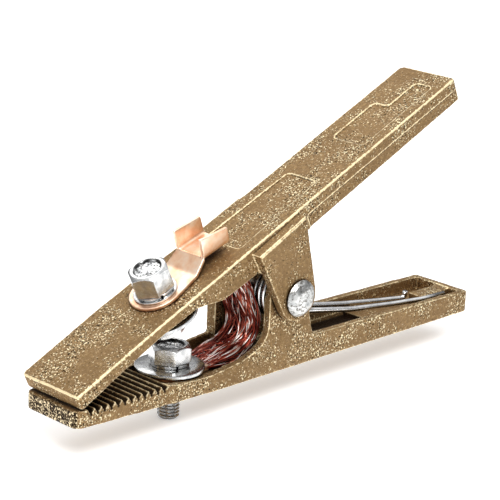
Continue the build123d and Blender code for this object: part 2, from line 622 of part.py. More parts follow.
def clamp_nut():
    """Thin hexagon nut, its corners rounded off on the outer face."""
    top = BOSS_W - FERRULE - BIG_WASHER - LOCK_WASHER
    bottom = top - NUT_HEIGHT
    nut = hex_prism(NUT_FLATS, 0, 0, 0, NUT_HEIGHT, NUT_TURN)
    nut &= corner_cone(NUT_FLATS, 0, 0, NUT_HEIGHT, NUT_HEIGHT)
    nut -= rod(BOLT_HOLE_RADIUS, 0, 0, -OVERRUN, NUT_HEIGHT + OVERRUN)
    return placed(Pos(UPPER_BOLT_U, UPPER_BOLT_Y, bottom) * Pos(0, 0, NUT_HEIGHT) * Rot(180, 0, 0) * nut)


# ---------------------------------------------------------------- write the pieces
NODES = [
    lower_casting, upper_casting, pivot_rivet, rivet_washer, pivot_sleeve, torsion_spring, cable_lug,
    upper_bolt, upper_lock_washer, lug_washer, clamp_washer, nut_lock_washer, clamp_nut,
    shunt_ferrule_upper, shunt_braid, shunt_ferrule_lower, lower_washer, lower_lock_washer, lower_bolt,
]
for make_node in NODES:
    export_step(make_node(), f"parts/{make_node.__name__}.step")
    print(make_node.__name__)
print("shunt length", round(shunt_path().length, 1))
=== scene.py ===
import json
import math
import random

import bmesh
import bpy
import numpy as np
from mathutils import Matrix, Vector, kdtree, noise


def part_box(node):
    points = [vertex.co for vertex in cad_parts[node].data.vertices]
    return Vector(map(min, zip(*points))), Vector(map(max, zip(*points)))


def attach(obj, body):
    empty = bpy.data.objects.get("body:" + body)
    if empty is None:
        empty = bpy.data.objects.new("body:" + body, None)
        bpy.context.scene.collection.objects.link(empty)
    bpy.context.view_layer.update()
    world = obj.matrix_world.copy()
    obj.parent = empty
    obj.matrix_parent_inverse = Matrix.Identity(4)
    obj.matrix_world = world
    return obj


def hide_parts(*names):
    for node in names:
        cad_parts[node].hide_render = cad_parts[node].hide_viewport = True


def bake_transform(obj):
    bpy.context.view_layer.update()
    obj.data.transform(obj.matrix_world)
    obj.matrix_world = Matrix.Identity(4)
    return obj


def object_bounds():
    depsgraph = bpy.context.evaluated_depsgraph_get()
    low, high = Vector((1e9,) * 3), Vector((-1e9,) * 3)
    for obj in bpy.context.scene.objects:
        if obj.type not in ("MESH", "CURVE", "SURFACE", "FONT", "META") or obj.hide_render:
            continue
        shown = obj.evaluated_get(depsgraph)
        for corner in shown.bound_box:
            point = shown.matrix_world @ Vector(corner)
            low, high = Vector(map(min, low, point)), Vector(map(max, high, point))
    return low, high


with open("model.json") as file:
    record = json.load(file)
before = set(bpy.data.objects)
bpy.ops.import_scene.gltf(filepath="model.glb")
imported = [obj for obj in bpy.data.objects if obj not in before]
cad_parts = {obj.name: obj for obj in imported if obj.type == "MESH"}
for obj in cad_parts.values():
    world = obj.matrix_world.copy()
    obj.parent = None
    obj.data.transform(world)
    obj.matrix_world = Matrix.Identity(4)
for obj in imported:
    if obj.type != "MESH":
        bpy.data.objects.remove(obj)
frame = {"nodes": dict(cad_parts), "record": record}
CAD_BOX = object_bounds()
NODES = frame["nodes"]
BODY_OF = {node: body for body, nodes in frame["record"]["behaviour"]["bodies"].items() for node in nodes}
SLOT_OF = {part["node"]: part["material_slot"] for part in frame["record"]["subparts"]}
MM = 0.001
FULL_TURN = 2 * math.pi

# ---------------------------------------------------------------- camera
VIEW_AZIMUTH = -45.45
VIEW_ELEVATION = 17.34
VIEW_ROLL = 2.35
VIEW_DISTANCE = 0.72327
VIEW_TARGET = Vector((0.0025, 0.0, 0.025))
VIEW_SLIDE = (-0.00676, 0.01566)
VIEW_LENS = 142.28
SENSOR_WIDTH = 36.0
NEAR_CLIP = 0.01
FAR_CLIP = 20.0


def make_camera():
    azimuth, elevation, roll = (math.radians(a) for a in (VIEW_AZIMUTH, VIEW_ELEVATION, VIEW_ROLL))
    flat = math.cos(elevation)
    back = Vector((math.sin(azimuth) * flat, -math.cos(azimuth) * flat, math.sin(elevation)))
    level = Vector((math.cos(azimuth), math.sin(azimuth), 0))
    up = back.cross(level)
    right = level * math.cos(roll) + up * math.sin(roll)
    top = up * math.cos(roll) - level * math.sin(roll)
    place = VIEW_TARGET + back * VIEW_DISTANCE + right * VIEW_SLIDE[0] + top * VIEW_SLIDE[1]
    data = bpy.data.cameras.new("camera")
    data.lens = VIEW_LENS
    data.sensor_width = SENSOR_WIDTH
    data.clip_start = NEAR_CLIP
    data.clip_end = FAR_CLIP
    camera = bpy.data.objects.new("camera", data)
    camera.matrix_world = Matrix((
        (right.x, top.x, back.x, place.x),
        (right.y, top.y, back.y, place.y),
        (right.z, top.z, back.z, place.z),
        (0, 0, 0, 1),
    ))
    bpy.context.scene.collection.objects.link(camera)
    bpy.context.scene.camera = camera


# ---------------------------------------------------------------- floor and light
LIGHT_AIM = (0, 0, 0.03)
KEY_LIGHT = {"place": (-0.45, -0.5, 0.8), "size": (0.5, 0.5), "power": 9}
RIM_LIGHT = {"place": (0.25, 0.55, 0.65), "size": (0.7, 0.5), "power": 1.6}
ROOM_GREYS = ((0.0, 0.10), (0.35, 0.32), (0.85, 1.0))     # height, 0 below and 1 overhead, and its grey
ROOM_STRENGTH = 1.15
FLOOR_SIZE = 3.0
FLOOR_GAP = 0.1 * MM
FLOOR_GREY = 0.85
FLOOR_ROUGHNESS = 0.9
FLOOR_GLOW = 0.40
WHITE = (1.0, 1.0, 1.0)


def area_light(name, place, size, power):
    data = bpy.data.lights.new(name, "AREA")
    data.shape = "RECTANGLE"
    data.size, data.size_y = size
    data.energy = power
    light = bpy.data.objects.new(name, data)
    light.location = place
    light.rotation_euler = (Vector(LIGHT_AIM) - Vector(place)).to_track_quat("-Z", "Y").to_euler()
    bpy.context.scene.collection.objects.link(light)


def make_world():
    """A white room, brightest overhead and darker round the horizon."""
    world = bpy.data.worlds.new("studio")
    world.use_nodes = True
    tree = world.node_tree
    place = tree.nodes.new("ShaderNodeTexCoord")
    split = tree.nodes.new("ShaderNodeSeparateXYZ")
    ramp = tree.nodes.new("ShaderNodeValToRGB")
    tree.links.new(place.outputs["Generated"], split.inputs[0])
    tree.links.new(split.outputs["Z"], ramp.inputs["Fac"])
    tree.links.new(ramp.outputs["Color"], tree.nodes["Background"].inputs["Color"])
    elements = ramp.color_ramp.elements
    elements.new(0.5)
    for element, (position, grey) in zip(elements, ROOM_GREYS):
        element.position = position
        element.color = (grey, grey, grey, 1)
    tree.nodes["Background"].inputs["Strength"].default_value = ROOM_STRENGTH
    bpy.context.scene.world = world


def make_floor():
    bm = bmesh.new()
    bmesh.ops.create_grid(bm, x_segments=2, y_segments=2, size=FLOOR_SIZE)
    mesh = bpy.data.meshes.new("floor")
    bm.to_mesh(mesh)
    bm.free()
    floor = bpy.data.objects.new("floor", mesh)
    floor.location.z = CAD_BOX[0].z - FLOOR_GAP
    paint = bpy.data.materials.new("floor_paint")
    paint.use_nodes = True
    shader = paint.node_tree.nodes["Principled BSDF"]
    shader.inputs["Base Color"].default_value = (FLOOR_GREY, FLOOR_GREY, FLOOR_GREY, 1)
    shader.inputs["Roughness"].default_value = FLOOR_ROUGHNESS
    shader.inputs["Emission Color"].default_value = (*WHITE, 1)
    shader.inputs["Emission Strength"].default_value = FLOOR_GLOW
    mesh.materials.append(paint)
    bpy.context.scene.collection.objects.link(floor)


make_camera()
make_world()
make_floor()
area_light("key", **KEY_LIGHT)
area_light("rim", **RIM_LIGHT)
bpy.context.scene.view_settings.view_transform = "Standard"

# ---------------------------------------------------------------- materials
NOISE_RANGE = (0.3, 0.7)          # where most values of a noise lie
MASK_FADE = 0.5 * MM
SHELTER_RAYS = 6
MIX_SHARE, MIX_FIRST, MIX_SECOND, MIX_RESULT = 0, 6, 7, 2     # the colour sockets of a Mix node


class Paint:
    """A node material with one Principled shader, and short ways to add textures to it."""

    def __init__(self, name, metallic=1.0):
        self.material = bpy.data.materials.new(name)
        self.material.use_nodes = True
        self.tree = self.material.node_tree
        self.shader = self.tree.nodes["Principled BSDF"]
        self.shader.inputs["Metallic"].default_value = metallic
        self.place = self.tree.nodes.new("ShaderNodeTexCoord").outputs["Object"]

    def add(self, kind, **settings):
        node = self.tree.nodes.new(kind)
        for key, value in settings.items():
            setattr(node, key, value)
        return node

    def link(self, source, target):
        self.tree.links.new(source, target)

    def noise(self, grain, detail=3.0, rough=0.55, stretch=None):
        """Noise with features about grain metres across."""
        node = self.add("ShaderNodeTexNoise")
        node.inputs["Scale"].default_value = 1.0 / grain
        node.inputs["Detail"].default_value = detail
        node.inputs["Roughness"].default_value = rough
        source = self.place
        if stretch:
            mapping = self.add("ShaderNodeMapping")
            mapping.inputs["Scale"].default_value = stretch
            self.link(source, mapping.inputs["Vector"])
            source = mapping.outputs["Vector"]
        self.link(source, node.inputs["Vector"])
        return node.outputs["Fac"]

    def attribute(self, name):
        return self.add("ShaderNodeAttribute", attribute_name=name).outputs["Fac"]

    def combine(self, operation, first, second):
        node = self.add("ShaderNodeMath", operation=operation)
        self.link(first, node.inputs[0])
        self.link(second, node.inputs[1])
        return node.outputs[0]

    def span(self, source, to, over=NOISE_RANGE):
        """Stretches the range over to the range to, and holds its ends beyond it."""
        node = self.add("ShaderNodeMapRange")
        for name, value in zip(("From Min", "From Max", "To Min", "To Max"), (*over, *to)):
            node.inputs[name].default_value = value
        self.link(source, node.inputs["Value"])
        return node.outputs["Result"]

    def inside(self, box):
        """1 inside a box given as (low, high) in millimetres for some of the axes, with soft sides."""
        split = self.add("ShaderNodeSeparateXYZ")
        self.link(self.place, split.inputs[0])
        share = None
        for axis, (low, high) in box.items():
            for limit, side in ((low * MM, 1), (high * MM, -1)):
                step = self.span(split.outputs[axis], (0.0, 1.0), (limit, limit + side * MASK_FADE))
                share = self.combine("MULTIPLY", share, step) if share else step
        return share

    def ramp(self, source, stops):
        node = self.add("ShaderNodeValToRGB")
        elements = node.color_ramp.elements
        while len(elements) < len(stops):
            elements.new(0.5)
        for element, (position, colour) in zip(elements, stops):
            element.position = position
            element.color = (*colour, 1)
        self.link(source, node.inputs["Fac"])
        return node.outputs["Color"]

    def mix(self, share, first, second, blend="MIX"):
        node = self.add("ShaderNodeMix", data_type="RGBA", blend_type=blend)
        for value, socket in ((share, MIX_SHARE), (first, MIX_FIRST), (second, MIX_SECOND)):
            if isinstance(value, bpy.types.NodeSocket):
                self.link(value, node.inputs[socket])
            elif isinstance(value, (int, float)):
                node.inputs[socket].default_value = value
            else:
                node.inputs[socket].default_value = (*value, 1)
        return node.outputs[MIX_RESULT]

    def paint_pocket_shade(self, colour, distance, stops):
        """Paints shade into a colour: darkens it in pockets up to distance across; stops run from closed
        in to open.
        """
        node = self.add("ShaderNodeAmbientOcclusion", samples=SHELTER_RAYS)
        node.inputs["Distance"].default_value = distance
        return self.mix(1.0, colour, self.ramp(node.outputs["AO"], stops), "MULTIPLY")

    def bump(self, height, strength, depth, below=None):
        node = self.add("ShaderNodeBump")
        node.inputs["Strength"].default_value = strength
        node.inputs["Distance"].default_value = depth
        self.link(height, node.inputs["Height"])
        if below:
            self.link(below, node.inputs["Normal"])
        return node.outputs["Normal"]

    def finish(self, colour, roughness, normal):
        for value, name in ((colour, "Base Color"), (roughness, "Roughness"), (normal, "Normal")):
            self.link(value, self.shader.inputs[name])
        return self.material


# Cast brass: its colours, and the places, in millimetres, where the nose's face is rougher and where shade
# is painted in.
BRASS_TONES = [(0.3, (0.235, 0.145, 0.064)), (0.7, (0.305, 0.197, 0.094))]
BRASS_GRAIN = (0.44, 0.30, 0.14)
BRASS_PAINTED_GLINT = (1.0, 0.90, 0.62)
BRASS_PIT = (0.025, 0.012, 0.004)
BRASS_WEAR_AND_HIGHLIGHT = (0.96, 0.82, 0.54)
BRASS_CREASE_DIRT_AND_SHADE = (0.018, 0.009, 0.004)
BRASS_NOSE = [(0.45, (0.02, 0.013, 0.008)), (0.54, (0.17, 0.11, 0.055)), (0.61, (0.90, 0.76, 0.50))]
WELL_PAINTED_SHADE = (0.022, 0.012, 0.006)
GROOVE_PAINTED_SHADE = (0.03, 0.018, 0.008)
NOSE_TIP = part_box("lower_casting")[0].x / MM
NOSE_FRONT = {"X": (NOSE_TIP - 1, NOSE_TIP + 1.6), "Z": (-1, 8.2)}
HANDLE_WELL = {"X": (-13, 56.5), "Y": (-10.6, 10.6), "Z": (0.8, 4.1)}
TOOTH_GROOVES = {"X": (-96, -58), "Y": (-13.6, 13.6), "Z": (5.2, 7.8)}
WIDE_POCKET = 12 * MM
WIDE_SHADE = [(0.12, (0.10, 0.07, 0.045)), (0.36, (1.0, 0.90, 0.76)), (0.85, WHITE)]
NARROW_POCKET = 2.2 * MM
NARROW_SHADE = [(0.38, (0.10, 0.07, 0.04)), (0.80, WHITE)]


def cast_brass():
    """Sand-cast brass: tan, matt, grainy, with painted glints, edges painted bright as wear and highlight,
    and dirt and painted shade in its creases and pockets.
    """
    paint = Paint("cast_brass", metallic=0.9)
    cloud = paint.noise(22 * MM, detail=4)
    patch = paint.noise(11 * MM, rough=0.6)
    grain = paint.noise(1.3 * MM, rough=0.7)
    speck = paint.noise(0.66 * MM, detail=2, rough=0.6)
    pits = paint.noise(0.72 * MM, detail=2, rough=0.6)
    body = paint.ramp(cloud, BRASS_TONES)
    body = paint.mix(paint.span(grain, to=(0.0, 0.6), over=(0.5, 0.64)), body, BRASS_GRAIN)
    # Painted bright glints and dark pits are both denser where the surface is patchy.
    rough_patch = paint.span(patch, to=(0.0, 0.11), over=(0.40, 0.58))
    bright = paint.combine("ADD", speck, rough_patch)
    body = paint.mix(paint.span(bright, to=(0.0, 1.0), over=(0.68, 0.72)), body, BRASS_PAINTED_GLINT)
    dark = paint.combine("SUBTRACT", pits, rough_patch)
    body = paint.mix(paint.span(dark, to=(0.97, 0.0), over=(0.29, 0.34)), body, BRASS_PIT)
    # Outer edges are painted bright in a frayed line, as wear and a painted highlight, and inner ones are
    # painted dark, as dirt and painted shade.
    fray = paint.span(paint.noise(1.8 * MM, rough=0.7), to=(-0.28, 0.26))
    frayed = paint.combine("ADD", paint.attribute("edge"), fray)
    body = paint.mix(paint.span(frayed, to=(0.0, 0.9), over=(0.35, 0.65)), body, BRASS_WEAR_AND_HIGHLIGHT)
    crease_dirt_and_shade = paint.span(paint.attribute("edge"), to=(0.97, 0.0), over=(-0.50, -0.10))
    body = paint.mix(crease_dirt_and_shade, body, BRASS_CREASE_DIRT_AND_SHADE)
    body = paint.mix(paint.inside(NOSE_FRONT), body, paint.ramp(speck, BRASS_NOSE))
    # Painted shade: the handle's well is darkened where shade falls in it.
    body = paint.mix(paint.inside(HANDLE_WELL), body, WELL_PAINTED_SHADE)
    # Painted shade: the tooth grooves under the upper jaw are darkened.
    body = paint.mix(paint.inside(TOOTH_GROOVES), body, GROOVE_PAINTED_SHADE)
    # Painted shade in wide and narrow pockets, from ambient occlusion.
    body = paint.paint_pocket_shade(body, WIDE_POCKET, WIDE_SHADE)
    body = paint.paint_pocket_shade(body, NARROW_POCKET, NARROW_SHADE)
    rough = paint.span(speck, to=(0.70, 0.50), over=(0.35, 0.7))
    lumps = paint.bump(grain, strength=0.8, depth=0.5 * MM)
    return paint.finish(body, rough, paint.bump(speck, strength=0.8, depth=0.3 * MM, below=lumps))


# Bright plated steels. pitted: below which value of the noise a spot is a dull speck. pocket: how wide the
# hollows are that get painted shade.
STEELS = {
    "zinc_steel": {
        "dark": (0.42, 0.43, 0.44), "light": (0.80, 0.80, 0.79),
        "roughness": 0.20, "pitted": 0.25, "pocket": 14 * MM,
    },
    "rivet_steel": {
        "dark": (0.36, 0.37, 0.37), "light": (0.78, 0.78, 0.76),
        "roughness": 0.28, "pitted": 0.40, "pocket": 2 * MM,
    },
    "spring_steel": {
        "dark": (0.68, 0.69, 0.70), "light": (0.98, 0.98, 0.98),
        "roughness": 0.16, "pitted": 0.20, "pocket": 11 * MM,
    },
}
STEEL_SPECK = (0.10, 0.09, 0.075)
SPECK_EDGE = 0.09
STEEL_PAINTED_DARK = (0.03, 0.03, 0.03)
STEEL_SHADE = [(0.20, (0.05, 0.045, 0.04)), (0.50, WHITE)]


def plated_steel(name, dark, light, roughness, pitted, pocket):
    """Bright plating, slightly clouded, with fine scratches, dull specks, painted dark marks and painted
    shade in its hollows.
    """
    paint = Paint(name)
    cloud = paint.noise(3 * MM, detail=4)
    scratch = paint.noise(0.6 * MM, rough=0.6, stretch=(1, 1, 6))
    colour = paint.ramp(cloud, [(0.32, dark), (0.66, light)])
    grit = paint.noise(1.1 * MM, rough=0.7)
    specks = paint.span(grit, to=(0.85, 0.0), over=(pitted, pitted + SPECK_EDGE))
    colour = paint.mix(specks, colour, STEEL_SPECK)
    # Painted dark on bolts: painted shade at the dish wall and the head's foot, and dark streaks in the
    # dish.
    painted_dark = paint.span(paint.attribute("painted_dark"), to=(0.0, 0.96), over=(0.1, 0.6))
    colour = paint.mix(painted_dark, colour, STEEL_PAINTED_DARK)
    colour = paint.paint_pocket_shade(colour, pocket, STEEL_SHADE)
    rough = paint.span(cloud, to=(roughness + 0.1, roughness - 0.05))
    lumps = paint.bump(cloud, strength=0.3, depth=0.3 * MM)
    return paint.finish(colour, rough, paint.bump(scratch, strength=0.25, depth=0.1 * MM, below=lumps))


# Copper tones from orange to near white: the pale end is painted sheen.
SHEET_TONES_AND_SHEEN = [
    (0.3, (0.80, 0.42, 0.25)), (0.46, (0.95, 0.63, 0.42)),
    (0.6, (1.0, 0.80, 0.64)), (0.7, (1.0, 0.93, 0.86)),
]
SHEET_EDGE_HIGHLIGHT = (1.0, 0.88, 0.78)
SHEET_POCKET = 4 * MM
SHEET_SHADE = [(0.2, (0.30, 0.12, 0.06)), (0.8, WHITE)]


def copper_sheet():
    """Rolled copper, freshly stamped, in patches from orange to near white, the pale ones painted sheen.
    """
    paint = Paint("copper_sheet")
    grain = paint.noise(0.7 * MM, rough=0.6, stretch=(5, 1, 1))
    colour = paint.ramp(paint.noise(7 * MM), SHEET_TONES_AND_SHEEN)
    # Painted highlight along the sheet's edges.
    edge_highlight = paint.span(paint.attribute("edge"), to=(0.0, 0.6), over=(0.2, 0.7))
    colour = paint.mix(edge_highlight, colour, SHEET_EDGE_HIGHLIGHT)
    colour = paint.paint_pocket_shade(colour, SHEET_POCKET, SHEET_SHADE)
    rough = paint.span(grain, to=(0.30, 0.46))
    return paint.finish(colour, rough, paint.bump(grain, strength=0.2, depth=0.1 * MM))


# The tones run from dark red oxide to bright copper; the last, pinkish white, is a painted highlight.
STRAND_TONES_AND_HIGHLIGHTS = [
    (0.0, (0.05, 0.006, 0.005)), (0.35, (0.20, 0.030, 0.020)), (0.62, (0.46, 0.10, 0.06)),
    (0.78, (0.80, 0.36, 0.27)), (0.95, (1.0, 0.90, 0.86)),
]
STRAND_POCKET = 2.2 * MM
STRAND_SHADE = [(0.28, (0.06, 0.025, 0.02)), (0.75, WHITE)]


def copper_strand():
    """Bare stranded wire: mostly dark red oxide, with some strands painted pinkish white in streaks as
    highlights.
    """
    paint = Paint("copper_strand")
    colour = paint.ramp(paint.attribute("tone_and_highlight"), STRAND_TONES_AND_HIGHLIGHTS)
    colour = paint.paint_pocket_shade(colour, STRAND_POCKET, STRAND_SHADE)
    rough = paint.span(paint.noise(2 * MM), to=(0.25, 0.45))
    draw_marks = paint.noise(0.4 * MM, detail=2)
    return paint.finish(colour, rough, paint.bump(draw_marks, strength=0.3, depth=0.1 * MM))


PAINTS = {name: plated_steel(name, **look) for name, look in STEELS.items()}
PAINTS["cast_brass"] = cast_brass()
PAINTS["copper_sheet"] = copper_sheet()
PAINTS["copper_strand"] = copper_strand()

# ---------------------------------------------------------------- mesh helpers
WELD_REACH = 2e-6
FLAT_TURN = math.radians(1.0)           # faces closer to one plane than this are joined before bevelling
BEVEL_TURN = math.radians(28)
BEVEL_SEGMENTS = 2
BEVEL_CREASE = math.radians(32)
LOFT_CREASE = math.radians(35)
SOFTENING_ROUNDS = 2
SHARP_TURN = math.radians(20)
MARK_STEP = 0.3 * MM
MARK_REACH = 1.5                        # how far an edge's mark goes, in voxels


def add_piece(name, mesh, node, body=None):
    """Links a mesh as a piece that stands for a CAD node, with that node's finish. It rides on that node's
    body unless another is named; with body "none" it rides on no body."""
    piece = bpy.data.objects.new(name, mesh)
    mesh.materials.clear()
    mesh.materials.append(PAINTS[SLOT_OF[node]])
    bpy.context.scene.collection.objects.link(piece)
    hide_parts(node)
    if body != "none":
        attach(piece, body or BODY_OF[node])
    return piece


def store(mesh, name, values):
    """Writes one number per vertex, for a material to read."""
    mesh.attributes.new(name, "FLOAT", "POINT").data.foreach_set("value", np.asarray(values, np.float32))


def welded(node):
    """A copy of a CAD node's mesh with its split vertices joined."""
    bm = bmesh.new()
    bm.from_mesh(NODES[node].data)
    bmesh.ops.remove_doubles(bm, verts=bm.verts, dist=WELD_REACH)
    return bm


def as_mesh(bm, name):
    mesh = bpy.data.meshes.new(name)
    bm.to_mesh(mesh)
    bm.free()
    return mesh


def positions(mesh):
    flat = np.empty(len(mesh.vertices) * 3)
    mesh.vertices.foreach_get("co", flat)
    return flat.reshape(-1, 3)


def set_positions(mesh, places):
    mesh.vertices.foreach_set("co", places.ravel())
    mesh.update()


def smoothed(mesh, rounds):
    """The vertices' places, each moved halfway to the middle of its neighbours a few times."""
    places = positions(mesh)
    edges = np.empty(len(mesh.edges) * 2, dtype=np.int64)
    mesh.edges.foreach_get("vertices", edges)
    first, second = edges.reshape(-1, 2).T
    degree = np.bincount(edges, minlength=len(places)).astype(float)
    for _ in range(rounds):
        total = np.empty_like(places)
        for axis in range(3):
            total[:, axis] = np.bincount(first, places[second, axis], len(places))
            total[:, axis] += np.bincount(second, places[first, axis], len(places))
        places += 0.5 * (total / degree[:, None] - places)
    return places


def edge_marks(node, places, reach):
    """1 on a CAD node's outer edges and -1 in its inner ones, fading to 0 at a distance of reach.
    Where both are near, the nearer edge counts."""
    bm = welded(node)
    spots = {1: [], -1: []}
    for edge in bm.edges:
        turn = edge.calc_face_angle_signed(0) if len(edge.link_faces) == 2 else 0
        if abs(turn) > SHARP_TURN:
            a, b = (vert.co for vert in edge.verts)
            steps = max(1, round((b - a).length / MARK_STEP))
            spots[1 if turn > 0 else -1] += [a.lerp(b, i / steps) for i in range(steps + 1)]
    bm.free()
    away = {}
    for sign, line in spots.items():
        away[sign] = np.full(len(places), reach)
        if line:
            tree = kdtree.KDTree(len(line))
            for i, spot in enumerate(line):
                tree.insert(spot, i)
            tree.balance()
            away[sign] = np.array([tree.find(place)[2] for place in places])
    nearest = np.minimum(away[1], away[-1])
    return np.where(away[1] < away[-1], 1, -1) * np.clip(1 - nearest / reach, 0, 1)


def voxel_skin(node, name, voxel):
    """One closed mesh of even faces over a CAD node."""
    work = bpy.data.objects.new(name, as_mesh(welded(node), name))
    bpy.context.scene.collection.objects.link(work)
    remesh = work.modifiers.new("skin", "REMESH")
    remesh.mode = "VOXEL"
    remesh.voxel_size = voxel
    remesh.use_smooth_shade = True
    shaped = bpy.data.meshes.new_from_object(work.evaluated_get(bpy.context.evaluated_depsgraph_get()))
    bpy.data.objects.remove(work)
    shaped.name = name
    return shaped


def skin(node, name, voxel, grain):
    """A fine, closed skin over a CAD node: soft edges, a cast or hammered surface, an "edge" attribute.
    voxel and grain, a list of (feature size, depth), are in millimetres. The grain only goes inwards."""
    shaped = voxel_skin(node, name, voxel * MM)
    places = smoothed(shaped, SOFTENING_ROUNDS)
    set_positions(shaped, places)
    normals = np.empty(len(places) * 3)
    shaped.vertex_normals.foreach_get("vector", normals)
    normals = normals.reshape(-1, 3)
    edge = edge_marks(node, places, MARK_REACH * voxel * MM)
    for size, depth in grain:
        bumps = np.array([noise.noise(Vector(p) / (size * MM)) for p in places])
        places -= normals * (depth * MM * (0.5 + 0.5 * bumps))[:, None]
    set_positions(shaped, places)
    store(shaped, "edge", edge)
    shaped.shade_smooth()
    add_piece(name, shaped, node)


def bevelled(node, name, width):
    """A copy of a CAD node with its sharp edges rounded."""
    bm = welded(node)
    bmesh.ops.dissolve_limit(
        bm, angle_limit=FLAT_TURN, verts=bm.verts, edges=bm.edges, use_dissolve_boundaries=False,
    )
    sharp = [e for e in bm.edges if len(e.link_faces) == 2 and e.calc_face_angle(0) > BEVEL_TURN]
    bmesh.ops.bevel(
        bm, geom=sharp, offset=width, offset_type="OFFSET", segments=BEVEL_SEGMENTS, profile=0.5,
        affect="EDGES", clamp_overlap=True,
    )
    mesh = as_mesh(bm, name)
    mesh.shade_smooth()
    mesh.set_sharp_from_angle(angle=BEVEL_CREASE)
    add_piece(name, mesh, node)


def loft(name, rings, closed_path=False):
    """A mesh through rings of points, one after the other, with ends unless the last ring meets the first.
    Every ring has the same number of points."""
    count = len(rings[0])
    faces = []
    for row in range(len(rings) if closed_path else len(rings) - 1):
        a = row * count
        b = (row + 1) % len(rings) * count
        for i in range(count):
            j = (i + 1) % count
            faces.append((a + i, a + j, b + j, b + i))
    if not closed_path:
        last = (len(rings) - 1) * count
        faces.append(tuple(range(count))[::-1])
        faces.append(tuple(range(last, last + count)))
    mesh = bpy.data.meshes.new(name)
    mesh.from_pydata(np.concatenate(rings).tolist(), [], faces)
    bm = bmesh.new()
    bm.from_mesh(mesh)
    bmesh.ops.recalc_face_normals(bm, faces=bm.faces)
    bm.to_mesh(mesh)
    bm.free()
    mesh.shade_smooth()
    mesh.set_sharp_from_angle(angle=LOFT_CREASE)
    return mesh


# ---------------------------------------------------------------- frames of the two castings
GRIP_ANGLE = math.radians(24.25)        # the upper casting's slope with the jaws shut
LEVEL = Matrix.Identity(4)
GRIP = Matrix.Rotation(-GRIP_ANGLE, 4, "Y")


def box_in(node, turn):
    """A node's lowest and highest corner in a turned frame."""
    local = positions(NODES[node].data) @ np.array(turn.to_3x3())
    return Vector(local.min(0)), Vector(local.max(0))


def axis_of(node, turn):
    """X and Y of a round node's axis in a turned frame."""
    low, high = box_in(node, turn)
    return (low.x + high.x) / 2, (low.y + high.y) / 2


# ---------------------------------------------------------------- bolts, nut and washers
AROUND = 96
ANGLES = np.arange(AROUND) * FULL_TURN / AROUND
HEX_CORNER = 0.994                      # the corners' reach, as a share of a sharp corner's
BOLT_FLATS = 13.5 * MM
NUT_FLATS = 13.0 * MM

THREAD_PITCH = 1.25 * MM
THREAD_DEPTH = 0.62 * MM
THREAD_ROWS = 8                         # rings for each turn of the thread
THREAD_CREST = 1.25                     # a ridge's height before its crest is cut flat at 1
THREAD_FLANK = 3.0                      # how steeply a ridge falls away
SHANK_RADIUS = 4.0 * MM
SHANK_TIP = 0.9 * MM
TIP_SLOPE = 0.9

# A bolt's head, in millimetres. The dish has a rough floor; its rings are shares of its radius.
DISH_RADIUS = 4.6
DISH_DEPTH = 0.95
DISH_ROUGHNESS = 0.45
DISH_RINGS = (0.02, 0.2, 0.35, 0.5, 0.65, 0.8, 0.92)
DISH_GRAIN = 3.3                        # features of the rough floor across its radius
DISH_EASE = 4                           # the floor is smooth at its middle, and rough 1/4 of the way out
HEAD_RIM = [(4.65, 0.90), (5.05, 0.10), (5.2, 0), (6.1, 0), (6.3, 0.06)]     # radius, depth
CHAMFER_SLOPE = math.tan(math.radians(38))
CHAMFER_FOOT = [(0.16, 0.125), (0.04, 0.03), (0, -0.05), (0, -0.20)]         # inset, height
HEAD_FOOT = (0.45, 0.3)                 # heights of the last rings on the head's sides
FOOT_INSET = 0.2
FOOT_REACH = 1.08                       # at most, as a share of half the flats
SEAT_GAP = 0.02
SHANK_FLARE = 0.1
FLARE_DEPTH = 0.2
THREAD_START = 0.5                      # below the seat

# Painted dark on a bolt, in millimetres: painted shade in a broken ring at the dish's wall, dark streaks
# in the dish, painted shade in a line at the foot.
RING_RADIUS, RING_BAND, RING_DEPTH = 4.85, 0.45, 1.0
RING_SHARE, RING_BREAKS, RING_STRENGTH = 0.62, 0.5, 1.6
RING_WAVES = (5, 2)                     # two waves round the ring, whose product makes the breaks
DISH_STREAK_REACH = (2.0, 4.4)
DISH_STREAK_DEPTH = 1.6
DISH_STREAK_ARMS, DISH_STREAK_TWIST, DISH_STREAK_SHARE = 7, 3, 0.3     # the dark streaks lie in a whorl of this many arms
FOOT_LINE_FROM, FOOT_LINE_TOP, FOOT_LINE_FADE = 6.0, 0.32, 0.1


def ring_at(centre, radius, height):
    """AROUND points at a radius and a height, either of which may be an array."""
    ring = np.empty((AROUND, 3))
    ring[:, 0] = centre[0] + radius * np.cos(ANGLES)
    ring[:, 1] = centre[1] + radius * np.sin(ANGLES)
    ring[:, 2] = height
    return ring


def hex_radius(flats, rotation):
    """Distance from the axis to a hexagon's side at each of ANGLES, its corners slightly cut off."""
    sector = np.mod(ANGLES - math.radians(rotation) + math.pi / 6, math.pi / 3) - math.pi / 6
    return np.minimum(flats / 2 / np.cos(sector), flats / math.sqrt(3) * HEX_CORNER)


def thread_rings(centre, high, low):
    """Rings of a helical thread, from high down to low, with a tapered tip."""
    rows = int((high - low) / (THREAD_PITCH / THREAD_ROWS))
    rings = []
    for row in range(rows + 1):
        height = high + (low - high) * row / rows
        phase = np.mod((height - low) / THREAD_PITCH + ANGLES / FULL_TURN, 1.0)
        ridge = np.clip(THREAD_CREST - np.abs(phase - 0.5) * THREAD_FLANK, 0, 1)
        fade = min(1.0, (high - height) / THREAD_PITCH)
        radius = SHANK_RADIUS - THREAD_DEPTH * (1 - ridge) * fade
        tip = max(0.0, SHANK_TIP - (height - low))
        rings.append(ring_at(centre, np.minimum(radius, SHANK_RADIUS - tip * TIP_SLOPE), height))
    return rings


